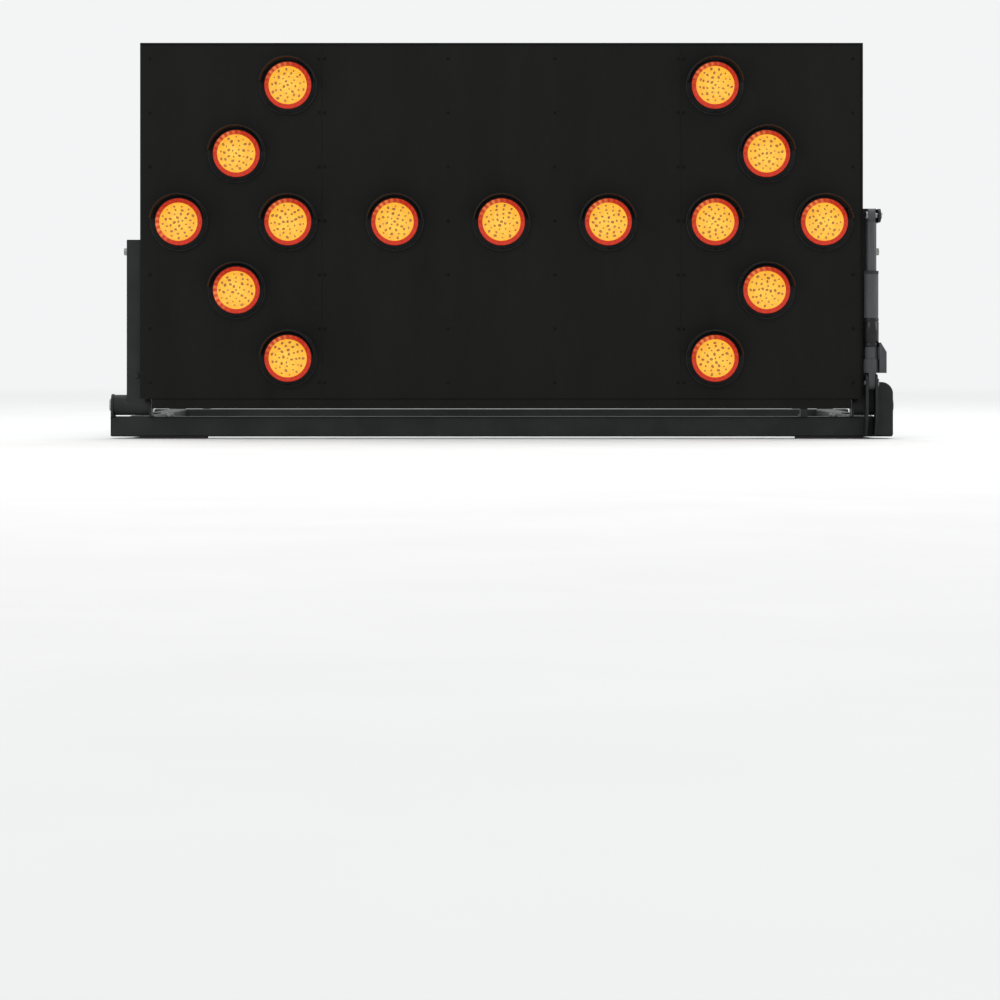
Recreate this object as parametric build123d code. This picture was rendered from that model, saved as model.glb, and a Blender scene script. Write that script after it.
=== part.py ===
from build123d import *
import math
import os

# A folding arrow board for a pickup bed.  Millimetres, +Z up, lamps face -Y.
# The model is laid out about the hinge axis (y = 0) and moved, when it is written,
# so that the origin is the centre of the four mounting holes on the beams' undersides.

# ---- driving sizes -------------------------------------------------------------
# square tube of the frame
tube = 50.8
tube_wall = 3.0
tube_corner = 4.0
# sign panel
panel_width = 1828.8
panel_height = 900.0
sheet = 2.5
sheet_gap = 1.0
light_tube = 25.4
light_wall = 2.0
edge_margin = 24.9
# base
base_depth = 1013.4
beam_y = 12.0
beam_overhang = 40.0
pad_length = 170.0
pad_thick = 5.0
pad_inset = 157.0
pad_bolt_inset = 146.0
pad_bolt_r = 6.0
mount_hole_inset = 50.0
mount_hole_r = 6.5
stop_inset = 148.4
# hinge
ear_thick = 6.0
ear_r = 28.0
hinge_pin_r = 10.0
bush_wall = 3.0
side_play = 0.5
barrel_over = 39.2
# uprights and cross tubes
upright_offset = 12.2
upright_left_top = 498.0
upright_right_top = 577.0
upper_cross_drop = 74.0
# lamps: three lengths along the arrow and the margins to the sheets' edges
lens_r = 59.0
gasket_over = 14.0
hole_play = 1.0
can_under = 4.0
tip_margin = 39.4
tip_to_mid = 146.0
mid_to_end = 130.0
seam_inset = 86.0
row_margin = 105.0
lamp_drop = 3.0
gasket_thick = 4.0
bezel_depth = 10.0
hood_depth = 48.0
hood_wall = 2.0
lens_wall = 3.0
flange_thick = 1.5
board_thick = 1.6
# control box on the back
box_width = 300.0
box_height = 180.0
box_depth = 72.0
box_wall = 3.0
box_x = 120.0
box_rise = 53.0
lid_thick = 3.0
# actuator
act_tube_r = 19.0
act_rod_r = 13.0
act_clear = 1.6
act_stand_off = 31.6
act_top_drop = 17.0
tang_half = 8.0
foot_plate = 6.0
foot_r = 22.0
foot_pin_r = 6.0
gusset_thick = 7.0
gusset_r = 30.0

# ---- fits ----------------------------------------------------------------------
running = 0.06
seat = 0.05
soft_gap = 0.3
barrel_gap = 3.2
cross_gap = 1.6

# ---- derived places ------------------------------------------------------------
half = tube / 2
barrel_r = half + 0.6
hinge_z = tube + barrel_r + barrel_gap
panel_edge = panel_width / 2
upright_x = panel_edge + upright_offset
beam_length = 2 * (upright_x + half + beam_overhang)
pad_x = beam_length / 2 - pad_inset
pad_bolt_x = beam_length / 2 - pad_bolt_inset
mount_hole_x = pad_x - pad_length / 2 - mount_hole_inset
front_beam_y = beam_y + base_depth
pattern_y = (beam_y + front_beam_y) / 2
barrel_length = tube + barrel_over
barrel_low_x = beam_length / 2 - ear_thick - side_play - barrel_length
inner_ear_x = barrel_low_x - side_play - ear_thick
outer_ear_x = beam_length / 2 - ear_thick
bottom_rail_length = 2 * (inner_ear_x - 4)
frame_front = -half
light_front = frame_front - light_tube
sheet_front = light_front - sheet
panel_bottom = hinge_z + 17.0
panel_top = panel_bottom + panel_height
top_rail_low = panel_top - light_tube
lower_cross_z = hinge_z + max(ear_r, barrel_r) + cross_gap + half
lamp_z = panel_bottom + panel_height / 2 - lamp_drop
upper_cross_z = lamp_z - upper_cross_drop
row_pitch = (panel_height / 2 - row_margin) / 2
tip_x = panel_edge - lens_r - tip_margin
head_mid_x = tip_x - tip_to_mid
head_end_x = head_mid_x - mid_to_end
shaft_x = head_end_x / 2
seam_x = head_end_x - seam_inset
outer_stiff_x = panel_edge - edge_margin
stiffener_xs = [-outer_stiff_x, -seam_x, -shaft_x / 2, shaft_x / 2, seam_x, outer_stiff_x]
gasket_r = lens_r + gasket_over
lamp_hole_r = lens_r + hole_play
can_r = lens_r - can_under
harness_z = lamp_z - 22.0
box_low = harness_z + box_rise
act_x = panel_edge + act_tube_r + act_clear
act_y = -(half + act_stand_off)
act_low_z = hinge_z - act_y
act_high_z = upright_right_top - act_top_drop
lamp_places = []
for side in (-1, 1):
    lamp_places.append((side * tip_x, 0.0))
    lamp_places.append((side * shaft_x, 0.0))
    lamp_places.append((side * head_end_x, 0.0))
    for row in (-1, 1):
        lamp_places.append((side * head_mid_x, row * row_pitch))
        lamp_places.append((side * head_end_x, row * 2 * row_pitch))
lamp_places.append((0.0, 0.0))
lamp_places = [(x, lamp_z + dz) for x, dz in lamp_places]

os.makedirs("parts", exist_ok=True)


# ---- small helpers -------------------------------------------------------------
def block(x0, x1, y0, y1, z0, z1):
    """A box between two corners."""
    return Pos((x0 + x1) / 2, (y0 + y1) / 2, (z0 + z1) / 2) * Box(x1 - x0, y1 - y0, z1 - z0)


def bar_x(x0, x1, y, z, r):
    """A round bar along X."""
    return Pos((x0 + x1) / 2, y, z) * Rot(0, 90, 0) * Cylinder(r, x1 - x0)


def bar_y(x, y0, y1, z, r):
    """A round bar along Y."""
    return Pos(x, (y0 + y1) / 2, z) * Rot(90, 0, 0) * Cylinder(r, y1 - y0)


def bar_z(x, y, z0, z1, r):
    """A round bar along Z."""
    return Pos(x, y, (z0 + z1) / 2) * Cylinder(r, z1 - z0)


def hex_x(x0, x1, y, z, r):
    """A hexagon bar along X, across corners 2r."""
    return Pos(x0, y, z) * Rot(0, 90, 0) * extrude(RegularPolygon(r, 6), x1 - x0)


def hex_y(x, y0, y1, z, r):
    """A hexagon bar along Y, across corners 2r."""
    return Pos(x, y1, z) * Rot(90, 0, 0) * extrude(RegularPolygon(r, 6), y1 - y0)


def hex_z(x, y, z0, z1, r):
    """A hexagon bar along Z, across corners 2r."""
    return Pos(x, y, z0) * extrude(RegularPolygon(r, 6), z1 - z0)


def box_tube(along, length, width, height, wall, corner):
    """A rectangular tube centred on the origin, with round outer corners."""
    outline = RectangleRounded(width, height, corner)
    bore = RectangleRounded(width - 2 * wall, height - 2 * wall, max(corner - wall, 0.5))
    body = Pos(0, 0, -length / 2) * extrude(outline - bore, length)
    if along == "x":
        return Rot(0, 90, 0) * body
    if along == "y":
        return Rot(90, 0, 0) * body
    return body


def frame_tube(along, length):
    """The square tube that the frame is made of."""
    return box_tube(along, length, tube, tube, tube_wall, tube_corner)


def light_bar(along, length):
    """The lighter square tube behind the sheets."""
    return box_tube(along, length, light_tube, light_tube, light_wall, light_wall)


def plate_x(points, x0, x1):
    """A plate whose outline is given as (y, z) points, between two X faces."""
    outline = make_face(Polyline(*[(x0, y, z) for y, z in points], close=True))
    return extrude(outline, x1 - x0, dir=(1, 0, 0))


def plate_y(points, y0, y1):
    """A plate whose outline is given as (x, z) points, between two Y faces."""
    outline = make_face(Polyline(*[(x, y0, z) for x, z in points], close=True))
    return extrude(outline, y1 - y0, dir=(0, 1, 0))


def write(name, solids):
    """Move the solids to the part's frame and write them as one node."""
    group = []
    for item in solids:
        group.extend(item.solids())
    moved = [Pos(0, -pattern_y, 0) * s for s in group]
    shape = moved[0] if len(moved) == 1 else Compound(children=moved)
    export_step(shape, "parts/" + name + ".step")


# ---- base frame ----------------------------------------------------------------
def cross_beam(y):
    body = Pos(0, y, half) * frame_tube("x", beam_length)
    for side in (-1, 1):
        body -= bar_z(side * mount_hole_x, y, -1, tube + 1, mount_hole_r)
        body -= bar_z(side * pad_bolt_x, y, -1, tube + 1, pad_bolt_r + 0.5)
    return body


write("rear_beam", [cross_beam(beam_y)])
write("front_beam", [cross_beam(front_beam_y)])

rail_start = beam_y + half
rail_length = base_depth - tube
rail_mid = (beam_y + front_beam_y) / 2
for side, name in ((-1, "side_rail_left"), (1, "side_rail_right")):
    rail = Pos(side * upright_x, rail_mid, half) * frame_tube("y", rail_length)
    write(name, [rail])

# moulded caps close the beams' open ends
cap_plate = 2.0
cap_plug = 12.0
caps = []
for y in (beam_y, front_beam_y):
    for side in (-1, 1):
        end = side * beam_length / 2
        inner = tube / 2 - tube_wall - 0.4
        plug = Pos(end - side * cap_plug / 2, y, half) * Box(cap_plug, 2 * inner, 2 * inner)
        face = Pos(end + side * cap_plate / 2, y, half) * Box(cap_plate, tube - 2, tube - 2)
        caps.append(plug + face)
write("beam_caps", caps)

# rubber pads between the beams and the rails of the truck bed, held by a bolt each
pads = []
bolts = []
for y in (beam_y, front_beam_y):
    for side in (-1, 1):
        x = side * pad_x
        pad = block(x - pad_length / 2, x + pad_length / 2, y - half, y + half, -pad_thick, 0)
        pad -= bar_z(side * pad_bolt_x, y, -pad_thick - 1, 1, pad_bolt_r + 0.5)
        pads.append(pad)
        bx = side * pad_bolt_x
        shank = bar_z(bx, y, -pad_thick + 1, tube, pad_bolt_r)
        washer = bar_z(bx, y, tube, tube + 2, 12)
        head = hex_z(bx, y, tube + 2, tube + 9, 10.5)
        bolts.append(shank + washer + head)
write("rail_pads", pads)
write("pad_bolts", bolts)

# rubber strips on the side rails carry the folded uprights
strip_y = 285.0
strip_length = 90.0
strip_top = hinge_z - half - soft_gap
strips = []
for side in (-1, 1):
    x = side * upright_x
    strips.append(block(x - 20, x + 20, strip_y, strip_y + strip_length, tube, strip_top))
write("rest_strips", strips)

# the raised sign's bottom rail comes down on this stop
stop_x = panel_edge - stop_inset
stop_half = 9.0
stop_plate = 5.0
stop_top = panel_bottom - light_tube - soft_gap
stop_foot = block(stop_x - stop_half, stop_x + stop_half, light_front, beam_y + 10, tube, tube + stop_plate)
stop_web = block(stop_x - stop_half, stop_x + stop_half, light_front + 2, frame_front - 2, tube, stop_top)
write("raised_stop", [stop_foot + stop_web])

# ---- hinges --------------------------------------------------------------------
ears = []
pins = []
barrels = []
bushes = []
for side in (-1, 1):
    for x0 in (inner_ear_x, outer_ear_x):
        x1 = x0 + ear_thick
        low, high = min(side * x0, side * x1), max(side * x0, side * x1)
        ear = block(low, high, -ear_r, ear_r, tube, hinge_z) + bar_x(low, high, 0, hinge_z, ear_r)
        ears.append(ear - bar_x(low - 1, high + 1, 0, hinge_z, hinge_pin_r + seat))
    pin_in = side * (inner_ear_x - 4)
    pin_out = side * (outer_ear_x + ear_thick)
    pin = bar_x(min(pin_in, pin_out), max(pin_in, pin_out), 0, hinge_z, hinge_pin_r)
    head_out = pin_out + side * 5
    pin += bar_x(min(pin_out, head_out), max(pin_out, head_out), 0, hinge_z, hinge_pin_r + 5)
    pins.append(pin)
    b0 = side * barrel_low_x
    b1 = side * (barrel_low_x + barrel_length)
    low, high = min(b0, b1), max(b0, b1)
    bore_r = hinge_pin_r + running + bush_wall
    barrel = bar_x(low, high, 0, hinge_z, barrel_r)
    barrels.append(barrel - bar_x(low - 1, high + 1, 0, hinge_z, bore_r + seat))
    for x0 in (low, high - 30):
        ring = bar_x(x0, x0 + 30, 0, hinge_z, bore_r)
        bushes.append(ring - bar_x(x0 - 1, x0 + 31, 0, hinge_z, hinge_pin_r + running))
write("hinge_ears", ears)
write("hinge_pins", pins)
write("hinge_barrels", barrels)
write("hinge_bushes", bushes)

# ---- uprights and cross tubes --------------------------------------------------
def upright(side, top):
    height = top - hinge_z
    body = Pos(side * upright_x, 0, hinge_z + height / 2) * frame_tube("z", height)
    return body - bar_x(-beam_length, beam_length, 0, hinge_z, barrel_r + seat)


write("upright_left", [upright(-1, upright_left_top)])
write("upright_right", [upright(1, upright_right_top)])

top_caps = []
for side, top in ((-1, upright_left_top), (1, upright_right_top)):
    inner = tube - 2 * tube_wall - 0.8
    cap = Pos(side * upright_x, 0, top - cap_plug / 2) * Box(inner, inner, cap_plug)
    cap += Pos(side * upright_x, 0, top + cap_plate / 2) * Box(tube - 2, tube - 2, cap_plate)
    top_caps.append(cap)
write("upright_caps", top_caps)

cross_length = 2 * (upright_x - half)
for name, z in (("lower_cross_tube", lower_cross_z), ("upper_cross_tube", upper_cross_z)):
    write(name, [Pos(0, 0, z) * frame_tube("x", cross_length)])

# bolt heads on the uprights' outer faces, and one on the left upright's back
outer_face = upright_x + half
cross_bolts = []
for side in (-1, 1):
    a, b = side * outer_face, side * (outer_face + 2)
    washer = bar_x(min(a, b), max(a, b), 0, upper_cross_z, 12)
    c = side * (outer_face + 9)
    head = hex_x(min(b, c), max(b, c), 0, upper_cross_z, 10.5)
    cross_bolts.append(washer + head)
cross_bolts.append(hex_y(-upright_x, frame_front - 5, frame_front, lower_cross_z + 20, 7))
write("upright_bolts", cross_bolts)

# ---- panel frame ---------------------------------------------------------------
light_y = frame_front - light_tube / 2
rail_z = panel_bottom - light_tube / 2
write("bottom_rail", [Pos(0, light_y, rail_z) * light_bar("x", bottom_rail_length)])
top_z = panel_top - light_tube / 2
write("top_rail", [Pos(0, light_y, top_z) * light_bar("x", bottom_rail_length)])
stiff_length = top_rail_low - panel_bottom
stiff_z = (top_rail_low + panel_bottom) / 2
stiffeners = []
for x in stiffener_xs:
    stiffeners.append(Pos(x, light_y, stiff_z) * light_bar("z", stiff_length))
write("stiffeners", stiffeners)

# three face sheets with round lamp holes, butted with a small gap on the seams
sheet_edges = [("face_left", -panel_edge, -seam_x - sheet_gap / 2),
               ("face_centre", -seam_x + sheet_gap / 2, seam_x - sheet_gap / 2),
               ("face_right", seam_x + sheet_gap / 2, panel_edge)]
for name, x0, x1 in sheet_edges:
    face = block(x0, x1, sheet_front, light_front, panel_bottom, panel_top)
    for x, z in lamp_places:
        if x0 < x < x1:
            face -= bar_y(x, sheet_front - 1, light_front + 1, z, lamp_hole_r)
    write(name, [face])

# folded angles stiffen the side edges of the sheets
edge_depth = 14.0
edge_thick = 2.0
edges = []
for side in (-1, 1):
    a, b = side * panel_edge, side * (panel_edge - edge_thick)
    edges.append(block(min(a, b), max(a, b), light_front, light_front + edge_depth, panel_bottom, panel_top))
write("edge_angles", edges)

# pop rivets hold the sheets to the stiffeners and rails
rivet_r = 4.0
rivet_proud = 1.5
rivet_rows = 7
rivets = []
for x in stiffener_xs:
    shift = 0.0 if abs(x) != seam_x else 7.0
    for k in range(rivet_rows):
        z = panel_bottom + 40 + k * (panel_top - panel_bottom - 80) / (rivet_rows - 1)
        for dx in ((-shift, shift) if shift else (0.0,)):
            nearest = min(math.hypot(x + dx - lx, z - lz) for lx, lz in lamp_places)
            if nearest > gasket_r + rivet_r + 1:
                rivets.append(bar_y(x + dx, sheet_front - rivet_proud, sheet_front, z, rivet_r))
write("rivets", rivets)

# ---- lamps ---------------------------------------------------------------------
gasket_front = sheet_front - gasket_thick
bezel_front = gasket_front - bezel_depth
lens_back = sheet_front + 0.5
lens_front = bezel_front - 5.0
can_back = frame_front - 1.6
board_y = lens_back - 2.0
gaskets = []
bezels = []
hoods = []
lenses = []
boards = []
cans = []
for x, z in lamp_places:
    ring = bar_y(x, gasket_front, sheet_front, z, gasket_r)
    gaskets.append(ring - bar_y(x, gasket_front - 1, sheet_front + 1, z, lens_r + 0.3))
    ring = bar_y(x, bezel_front, gasket_front, z, gasket_r - 2)
    bezels.append(ring - bar_y(x, bezel_front - 1, gasket_front + 1, z, lens_r + 0.3))
    visor = bar_y(x, bezel_front - hood_depth, bezel_front, z, gasket_r - 2)
    visor -= bar_y(x, bezel_front - hood_depth - 1, bezel_front + 1, z, gasket_r - 2 - hood_wall)
    visor -= block(x - 90, x + 90, bezel_front - hood_depth - 1, bezel_front + 1, z - 90, z + 8)
    hoods.append(visor)
    drum = bar_y(x, bezel_front, lens_back, z, lens_r)
    dome_sag = bezel_front - lens_front
    dome_r = (lens_r ** 2 + dome_sag ** 2) / (2 * dome_sag)
    dome = Pos(x, lens_front + dome_r, z) * Sphere(dome_r)
    dome &= bar_y(x, lens_front - 1, bezel_front, z, lens_r)
    lenses.append(drum + dome - bar_y(x, bezel_front + 2, lens_back + 1, z, lens_r - lens_wall))
    boards.append(bar_y(x, board_y - board_thick, board_y, z, lens_r - lens_wall - soft_gap))
    can = bar_y(x, lens_back, can_back, z, can_r)
    can += bar_y(x, lens_back, lens_back + flange_thick, z, lens_r - 0.5)
    cans.append(can - bar_y(x, lens_back - 1, can_back - 2, z, can_r - 2))
write("lamp_gaskets", gaskets)
write("lamp_bezels", bezels)
write("lamp_hoods", hoods)
write("lamp_lenses", lenses)
write("lamp_boards", boards)
write("lamp_cans", cans)

# ---- wiring along the back of the panel ----------------------------------------
harness_r = 6.0
harness_y = frame_front + 1.0 + harness_r
harness_end = tip_x - 16.0
gland_length = 18.0
gland_y = frame_front + 24.0
harness = bar_x(-harness_end, harness_end, harness_y, harness_z, harness_r)
splice = harness_r + 3.0
drop_x = box_x - 60
harness += block(drop_x - splice, drop_x + splice, frame_front + 0.5, gland_y + splice,
                 harness_z - splice, harness_z + splice)
harness += bar_z(drop_x, gland_y, harness_z + splice, box_low - gland_length - soft_gap, harness_r)
write("harness", [harness])

clips = []
for x in stiffener_xs[1:-1]:
    saddle = block(x - 8, x + 8, frame_front, harness_y + harness_r + 2, harness_z - 9, harness_z + 9)
    clips.append(saddle - bar_x(x - 9, x + 9, harness_y, harness_z, harness_r + 0.2))
write("harness_clips", clips)

# ---- control box with a lid hinged along its top -------------------------------
box_left = box_x - box_width / 2
box_right = box_x + box_width / 2
box_top = box_low + box_height
box_back = frame_front + box_depth
shell = block(box_left, box_right, frame_front, box_back, box_low, box_top)
shell -= block(box_left + box_wall, box_right - box_wall, frame_front + box_wall, box_back + 1,
               box_low + box_wall, box_top - box_wall)
gland_x = box_x - 60
inlet_x = box_x + 60
for gx in (gland_x, inlet_x):
    shell -= bar_z(gx, gland_y, box_low - 1, box_low + box_wall + 1, 8)
hinge_pipe_r = 4.0
lid_hinge_y = box_back + lid_thick + 0.6
lid_hinge_z = box_top + hinge_pipe_r + 0.5
knuckle = 40.0
lid_pin_r = 2.0
box_knuckles = []
lid_knuckles = []
for side in (-1, 1):
    x = box_x + side * 90
    pipe = bar_x(x - knuckle / 2, x + knuckle / 2, lid_hinge_y, lid_hinge_z, hinge_pipe_r)
    arm = block(x - knuckle / 2, x + knuckle / 2, box_back - 14, lid_hinge_y, box_top, box_top + 3)
    pipe = pipe + arm - bar_x(x - knuckle, x + knuckle, lid_hinge_y, lid_hinge_z, lid_pin_r + seat)
    box_knuckles.append(pipe)
lid_arm_low = lid_hinge_z - 14
x0 = box_x - 90 + knuckle / 2 + 0.5
x1 = box_x + 90 - knuckle / 2 - 0.5
lid_pipe = bar_x(x0, x1, lid_hinge_y, lid_hinge_z, hinge_pipe_r)
lid_pipe += block(x0, x1, lid_hinge_y - 0.3, lid_hinge_y + 2.7, lid_arm_low, lid_hinge_z)
lid_pipe -= bar_x(x0 - 1, x1 + 1, lid_hinge_y, lid_hinge_z, lid_pin_r + running)
lid_y0 = box_back + soft_gap
lid = block(box_left, box_right, lid_y0, lid_y0 + lid_thick, box_low, box_top)
latch_r = 5.0
latch_z = box_low + 20
latch_xs = (box_left + 40, box_right - 40)
for x in latch_xs:
    lid -= bar_y(x, lid_y0 - 1, lid_y0 + lid_thick + 1, latch_z, latch_r + running)
write("control_box", [shell])
write("box_knuckles", box_knuckles)
write("lid_pin", [bar_x(box_x - 90 - knuckle / 2 - 2, box_x + 90 + knuckle / 2 + 2, lid_hinge_y, lid_hinge_z,
                        lid_pin_r)])
write("box_lid", [lid + lid_pipe])
for x, name in zip(latch_xs, ("latch_left", "latch_right")):
    knob = bar_y(x, lid_y0 + lid_thick + 0.1, lid_y0 + lid_thick + 5, latch_z, 12)
    knob += block(x - 3, x + 3, lid_y0 + lid_thick + 5, lid_y0 + lid_thick + 12, latch_z - 11, latch_z + 11)
    stem = bar_y(x, lid_y0 - 6, lid_y0 + lid_thick + 1, latch_z, latch_r)
    write(name, [knob + stem])

# rubber seal ring lying in the box's mouth
lip = box_wall + 2.0
seal = block(box_left + box_wall, box_right - box_wall, box_back - 5, box_back,
             box_low + box_wall, box_top - box_wall)
seal -= block(box_left + lip, box_right - lip, box_back - 6, box_back + 1, box_low + lip, box_top - lip)
write("box_seal", [seal])
post = 8.0
board_z0 = box_low + 55
board_z1 = box_top - 25
deck = frame_front + box_wall
posts = []
for x in (box_left + 40, box_right - 40):
    for z in (board_z0 + 12, board_z1 - 12):
        posts.append(bar_y(x, deck, deck + post, z, 4))
write("board_posts", posts)
driver = block(box_left + 30, box_right - 30, deck + post, deck + post + board_thick, board_z0, board_z1)
chip_deck = deck + post + board_thick
driver += block(box_x - 60, box_x + 10, chip_deck, chip_deck + 18, board_z0 + 20, board_z0 + 60)
driver += block(box_x + 40, box_x + 90, chip_deck, chip_deck + 12, board_z0 + 25, board_z0 + 45)
write("driver_board", [driver])
glands = []
for gx in (gland_x, inlet_x):
    gland = bar_z(gx, gland_y, box_low - gland_length, box_low + box_wall + 4, 7.9)
    gland += hex_z(gx, gland_y, box_low - 8, box_low, 12)
    bore = bar_z(gx, gland_y, box_low - gland_length - 1, box_low + box_wall + 5, 4)
    glands.append(gland - bore)
write("cable_glands", glands)

# ---- screw actuator beside the right edge --------------------------------------
tang_r = 18.0
housing_top = act_low_z + 60.0
collar_top = act_low_z + 91.0
sleeve_top = act_low_z + 164.0
act_tube_top = act_low_z + 275.0
sleeve_r = 21.0
collar_r = 16.0
bore_r = act_tube_r - 2.5
screw_r = 5.0
eye_half = 9.0
eye_r = 17.0
rod_low = act_low_z + 125.0
rod_bore = 8.0


def act(z0, z1, r):
    """A round length on the actuator's axis."""
    return bar_z(act_x, act_y, z0, z1, r)


# foot bracket: two plates on the rear beam's outer face, standing round the lower pin
beam_face = beam_y - half
reach = act_y - foot_r
web_front = act_y + foot_r
foot_outline = [(beam_face, 3), (beam_face, tube - 3), (web_front, tube - 3), (web_front, act_low_z),
                (reach, act_low_z), (reach, tube - 6), (web_front - 10, 3)]
gap = tang_half + 1.0
feet = []
for side in (-1, 1):
    low = act_x + side * gap if side > 0 else act_x - gap - foot_plate
    high = low + foot_plate
    foot = plate_x(foot_outline, low, high) + bar_x(low, high, act_y, act_low_z, foot_r)
    feet.append(foot - bar_x(low - 1, high + 1, act_y, act_low_z, foot_pin_r + seat))
# a rounded gusset ties the outer plate to the beam, clear of the housing as it swings over
gusset_x0 = act_x + gap + foot_plate
gusset_x1 = beam_length / 2
gusset_y0 = web_front - gusset_thick
gusset_top = act_low_z + 2.0
round_z = gusset_top - gusset_r
gusset = block(gusset_x0, gusset_x1, gusset_y0, web_front, 5, round_z)
gusset += block(gusset_x0, gusset_x1 - gusset_r, gusset_y0, web_front, 5, gusset_top)
gusset += bar_y(gusset_x1 - gusset_r, gusset_y0, web_front, round_z, gusset_r)
gusset -= block(gusset_x0 - gusset_r, gusset_x0, gusset_y0, web_front, 5, gusset_top)
gusset += block(gusset_x0, gusset_x1, web_front, beam_face, 5, tube - 5)
feet[1] = feet[1] + gusset
write("foot_plates", feet)
pin_low = act_x - gap - foot_plate - 2
pin_high = act_x + gap + foot_plate
foot_pin = bar_x(pin_low, pin_high, act_y, act_low_z, foot_pin_r)
foot_pin += bar_x(pin_high, pin_high + 4, act_y, act_low_z, foot_pin_r + 4)
write("foot_pin", [foot_pin])

housing = block(act_x - tang_half, act_x + tang_half, act_y - tang_r, act_y + tang_r,
                act_low_z, housing_top - 25)
housing += bar_x(act_x - tang_half, act_x + tang_half, act_y, act_low_z, tang_r)
housing += act(housing_top - 35, housing_top, act_tube_r)
housing -= bar_x(act_x - 20, act_x + 20, act_y, act_low_z, foot_pin_r + running)
write("gear_housing", [housing])
# the side cover: a slanted top, and a neck that closes on the collar
cover_low = act_low_z + foot_r + 3
cover_top = act_low_z + 102.0
cover_slant = 24.0
cover_half = 17.0
neck_half = 9.0
cover_x0 = act_x + act_tube_r
cover_x1 = cover_x0 + 18
cover_outline = [(cover_x0, cover_low), (cover_x1, cover_low), (cover_x1, cover_top - cover_slant),
                 (cover_x0 + 3.5, cover_top), (cover_x0, cover_top)]
cover = plate_y(cover_outline, act_y - cover_half, act_y + cover_half)
cover += block(act_x + collar_r, cover_x0, act_y - neck_half, act_y + neck_half, housing_top, collar_top)
write("gear_cover", [cover])
write("actuator_collar", [act(housing_top, collar_top, collar_r)])
sleeve = act(collar_top, sleeve_top, sleeve_r - 2)
write("motor_sleeve", [sleeve - act(collar_top + 4, sleeve_top + 1, bore_r)])
barrel = act(sleeve_top, act_tube_top, act_tube_r - 1) - act(sleeve_top - 1, act_tube_top + 1, bore_r)
write("outer_tube", [barrel])
seal_r = act_tube_r - 0.5
wiper = act(act_tube_top, act_tube_top + 8, seal_r)
wiper -= act(act_tube_top - 1, act_tube_top + 9, act_rod_r + running)
write("wiper_seal", [wiper])
write("lead_screw", [act(collar_top + 4, act_tube_top - 20, screw_r)])
eye_low = act_high_z - eye_r
rod = act(rod_low, eye_low, act_rod_r) - act(rod_low - 1, eye_low - 20, rod_bore)
write("inner_rod", [rod])
nut = act(rod_low - 14, rod_low, bore_r - 0.1) - act(rod_low - 15, rod_low + 1, screw_r + running)
write("drive_nut", [nut])
eye = bar_x(act_x - eye_half, act_x + eye_half, act_y, act_high_z, eye_r)
eye += act(eye_low, act_high_z - foot_pin_r - 5, act_rod_r - 1)
eye -= bar_x(act_x - 20, act_x + 20, act_y, act_high_z, foot_pin_r + seat)
write("rod_eye", [eye])
lug_x0 = outer_face
lug_x1 = lug_x0 + foot_plate
rod_pin = bar_x(act_x - eye_half - 4, lug_x0 - 1.5, act_y, act_high_z, foot_pin_r)
rod_pin += bar_x(act_x - eye_half - 4, act_x - eye_half, act_y, act_high_z, foot_pin_r + 4)
write("rod_pin", [rod_pin])
lug_low = upright_right_top - 42
lug = block(lug_x0, lug_x1, act_y, half - 8, lug_low + 8, upright_right_top)
lug += bar_x(lug_x0, lug_x1, act_y, act_high_z, upright_right_top - act_high_z)
write("actuator_lug", [lug])
boss = bar_x(lug_x1, lug_x1 + 3, act_y, act_high_z, 9)
wire = bar_x(lug_x1 + 3, lug_x1 + 6, act_y, act_high_z + 4, 1.2)
write("lug_boss", [boss + wire])
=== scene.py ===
import bpy
import bmesh
import math
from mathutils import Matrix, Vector


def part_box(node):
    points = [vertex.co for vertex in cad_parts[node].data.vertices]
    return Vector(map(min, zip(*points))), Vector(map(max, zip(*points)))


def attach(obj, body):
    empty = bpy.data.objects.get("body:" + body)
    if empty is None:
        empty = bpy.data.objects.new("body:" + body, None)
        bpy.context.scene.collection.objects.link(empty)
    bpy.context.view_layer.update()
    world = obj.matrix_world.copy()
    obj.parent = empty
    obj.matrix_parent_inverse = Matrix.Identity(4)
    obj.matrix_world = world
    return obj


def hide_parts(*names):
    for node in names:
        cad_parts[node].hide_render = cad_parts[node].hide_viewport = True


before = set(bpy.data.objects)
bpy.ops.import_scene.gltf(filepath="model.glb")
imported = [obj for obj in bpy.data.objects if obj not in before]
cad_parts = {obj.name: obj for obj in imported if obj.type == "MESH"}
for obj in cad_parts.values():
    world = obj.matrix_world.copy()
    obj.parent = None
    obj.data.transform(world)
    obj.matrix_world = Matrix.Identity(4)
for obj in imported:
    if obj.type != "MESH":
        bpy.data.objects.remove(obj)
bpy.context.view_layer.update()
sheet_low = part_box("face_centre")[0]
beam_low, beam_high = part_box("rear_beam")

# ---- camera, floor and light ----------------------------------------------------
# The board is seen square on from behind the truck, from eight metres away and a little above
# the panel's lower third, so the lens is shifted down a little instead of the camera being tilted.
view_distance = 8.0
picture_span = 2.53
eye_height = beam_low.z + 0.22
eye_x = -0.0038
downward_shift = -0.15
sensor = 36.0
camera_data = bpy.data.cameras.new("camera")
camera_data.sensor_width = sensor
camera_data.lens = sensor * view_distance / picture_span
camera_data.shift_y = downward_shift
camera = bpy.data.objects.new("camera", camera_data)
camera.location = (eye_x, sheet_low.y - view_distance, eye_height)
camera.rotation_euler = (math.radians(90), 0, 0)
bpy.context.collection.objects.link(camera)
bpy.context.scene.camera = camera


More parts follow.
